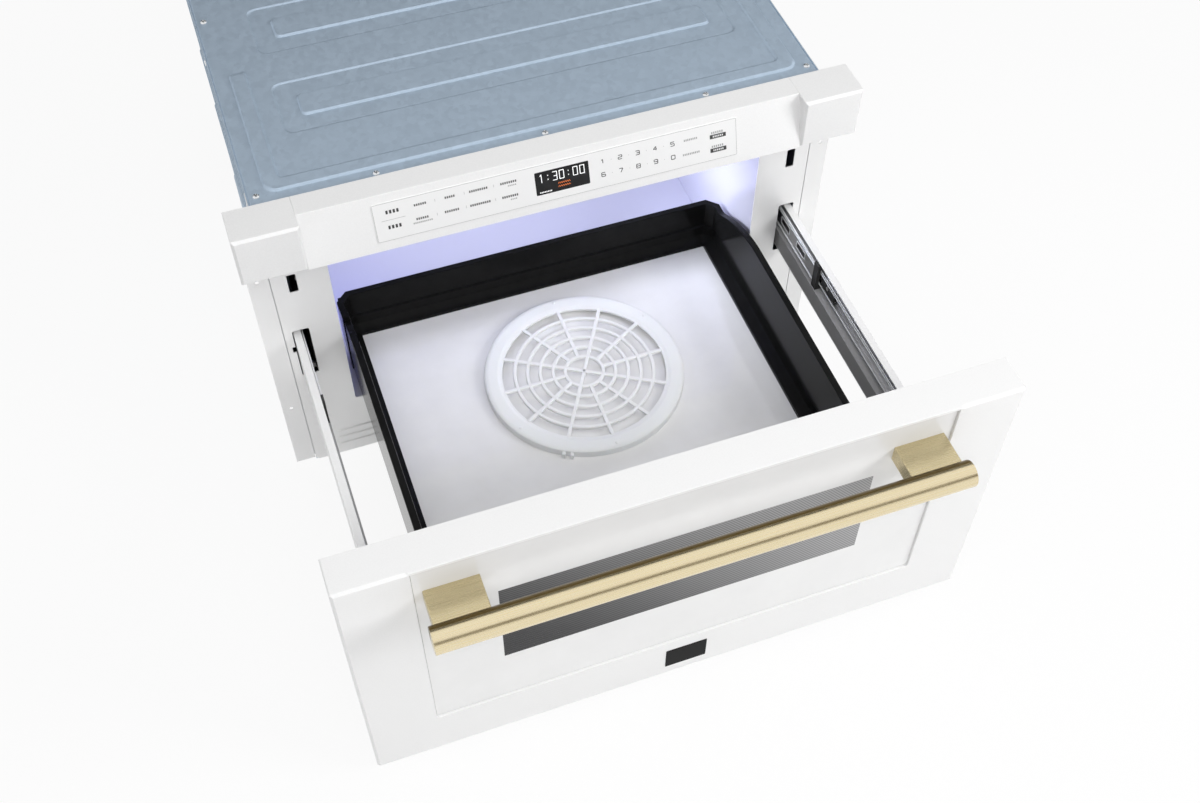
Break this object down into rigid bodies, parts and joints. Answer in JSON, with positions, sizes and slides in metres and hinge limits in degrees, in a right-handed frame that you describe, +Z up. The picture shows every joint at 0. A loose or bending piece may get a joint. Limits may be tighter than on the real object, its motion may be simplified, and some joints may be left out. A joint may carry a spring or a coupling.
{
  "type": "microwave drawer",
  "caption": "Built-in microwave oven drawer, open: white door with a brass bar handle, black tray with a round vented rack, control hood and galvanised cabinet.",
  "frame": {"origin": "middle of the underside of the base pan", "axes": "+X right seen from the front, +Y to the back, +Z up; the drawer opens towards -Y and is open at rest"},
  "size_m": [0.76, 1.094, 0.487],
  "materials": {
    "galvanised_sheet": "satin",
    "white_enamel": "satin",
    "white_glass": "gloss",
    "window_print": "satin",
    "satin_brass": "brushed",
    "black_enamel": "gloss",
    "glass_ceramic": "gloss",
    "white_resin": "satin",
    "slide_steel": "satin",
    "black_resin": "matte",
    "grey_acetal": "matte",
    "oven_enamel": "gloss",
    "circuit_board": "matte",
    "display_black": "gloss",
    "motor_steel": "satin",
    "transformer_steel": "satin",
    "seal_rubber": "matte",
    "zinc_screw": "gloss"
  },
  "bodies": {
    "cabinet": {"base_pan": "galvanised_sheet", "cover_screws": "zinc_screw", "side_panel_right": "galvanised_sheet", "side_panel_left": "galvanised_sheet", "rear_panel": "galvanised_sheet", "top_cover": "galvanised_sheet", "face_plate": "white_enamel", "mounting_flanges": "white_enamel", "hood_end_block_right": "white_enamel", "hood_end_block_left": "white_enamel", "hood_shell": "white_enamel", "control_fascia": "white_enamel", "touch_panel": "white_glass", "display_module": "display_black", "control_board": "circuit_board", "oven_cavity": "oven_enamel", "stirrer_cover": "white_resin", "cavity_lamp": "white_resin", "stirrer_motor": "motor_steel", "wave_guide": "motor_steel", "magnetron": "motor_steel", "power_transformer": "transformer_steel", "power_capacitor": "motor_steel", "power_diode": "black_resin", "fan_housing": "black_resin", "fan_motor": "motor_steel", "power_inlet": "black_resin", "latch_switches": "black_resin", "slide_brackets": "galvanised_sheet", "slide_fixed_members": "slide_steel", "drive_motor": "black_resin"},
    "drawer": {"door_frame": "white_enamel", "handle_screws": "zinc_screw", "door_glass": "white_glass", "window_screen": "window_print", "door_inner_panel": "white_enamel", "door_seal": "seal_rubber", "badge_plate": "display_black", "latch_hooks": "motor_steel", "handle_bar": "satin_brass", "handle_posts": "satin_brass", "tray_body": "black_enamel", "tray_floor": "glass_ceramic", "arm_right": "white_enamel", "arm_left": "white_enamel", "arm_bar_right": "grey_acetal", "rack_bar_left": "grey_acetal", "slide_drawer_members": "slide_steel"},
    "middle_right": {"slide_middle_right": "slide_steel", "slide_bumper_right": "black_resin"},
    "middle_left": {"slide_middle_left": "slide_steel", "slide_bumper_left": "black_resin"},
    "lever_right": {"release_lever_right": "black_resin"},
    "lever_left": {"release_lever_left": "black_resin"},
    "rack": {"round_rack": "white_resin"},
    "plunger_right": {"switch_plunger_right": "grey_acetal"},
    "plunger_left": {"switch_plunger_left": "grey_acetal"},
    "fan": {"fan_wheel": "black_resin"},
    "stirrer": {"stirrer_blade": "motor_steel"},
    "pinion": {"drive_pinion": "grey_acetal"}
  },
  "joints": [
    {"name": "drawer_slide", "type": "slide", "parent": "cabinet", "child": "drawer", "axis": [0, 1, 0], "range_m": [0, 0.4168]},
    {"name": "middle_slide_right", "type": "slide", "parent": "cabinet", "child": "middle_right", "axis": [0, 1, 0], "range_m": [0, 0.2084]},
    {"name": "middle_slide_left", "type": "slide", "parent": "cabinet", "child": "middle_left", "axis": [0, 1, 0], "range_m": [0, 0.2084]},
    {"name": "pinion_turn", "type": "hinge", "parent": "cabinet", "child": "pinion", "pos_m": [0, -0.263, 0.176], "axis": [-1, 0, 0], "range_deg": [0, 1990.2]},
    {"name": "lever_tilt_right", "type": "hinge", "parent": "drawer", "child": "lever_right", "pos_m": [0.332, -0.412, 0.236], "axis": [1, 0, 0], "range_deg": [-5, 5], "stiffness_Nm_per_rad": 0.05},
    {"name": "lever_tilt_left", "type": "hinge", "parent": "drawer", "child": "lever_left", "pos_m": [-0.332, -0.412, 0.236], "axis": [1, 0, 0], "range_deg": [-5, 5], "stiffness_Nm_per_rad": 0.05},
    {"name": "rack_lift", "type": "slide", "parent": "drawer", "child": "rack", "axis": [0, 0, 1], "range_m": [0, 0.1]},
    {"name": "plunger_press_right", "type": "slide", "parent": "cabinet", "child": "plunger_right", "axis": [-1, 0, 0], "range_m": [0, 0.002], "stiffness_N_per_m": 100, "springref_m": -0.001},
    {"name": "plunger_press_left", "type": "slide", "parent": "cabinet", "child": "plunger_left", "axis": [1, 0, 0], "range_m": [0, 0.002], "stiffness_N_per_m": 100, "springref_m": -0.001},
    {"name": "fan_spin", "type": "hinge", "parent": "cabinet", "child": "fan", "pos_m": [0.12, 0.226, 0.055], "axis": [0, 1, 0], "continuous": true},
    {"name": "stirrer_spin", "type": "hinge", "parent": "cabinet", "child": "stirrer", "pos_m": [0, 0, 0.37], "axis": [0, 0, 1], "continuous": true}
  ],
  "couplings": [
    {"joint": "middle_slide_right", "follows": "drawer_slide", "ratio": 0.5},
    {"joint": "middle_slide_left", "follows": "drawer_slide", "ratio": 0.5},
    {"joint": "pinion_turn", "follows": "drawer_slide", "rad_per_m": 83.333}
  ]
}
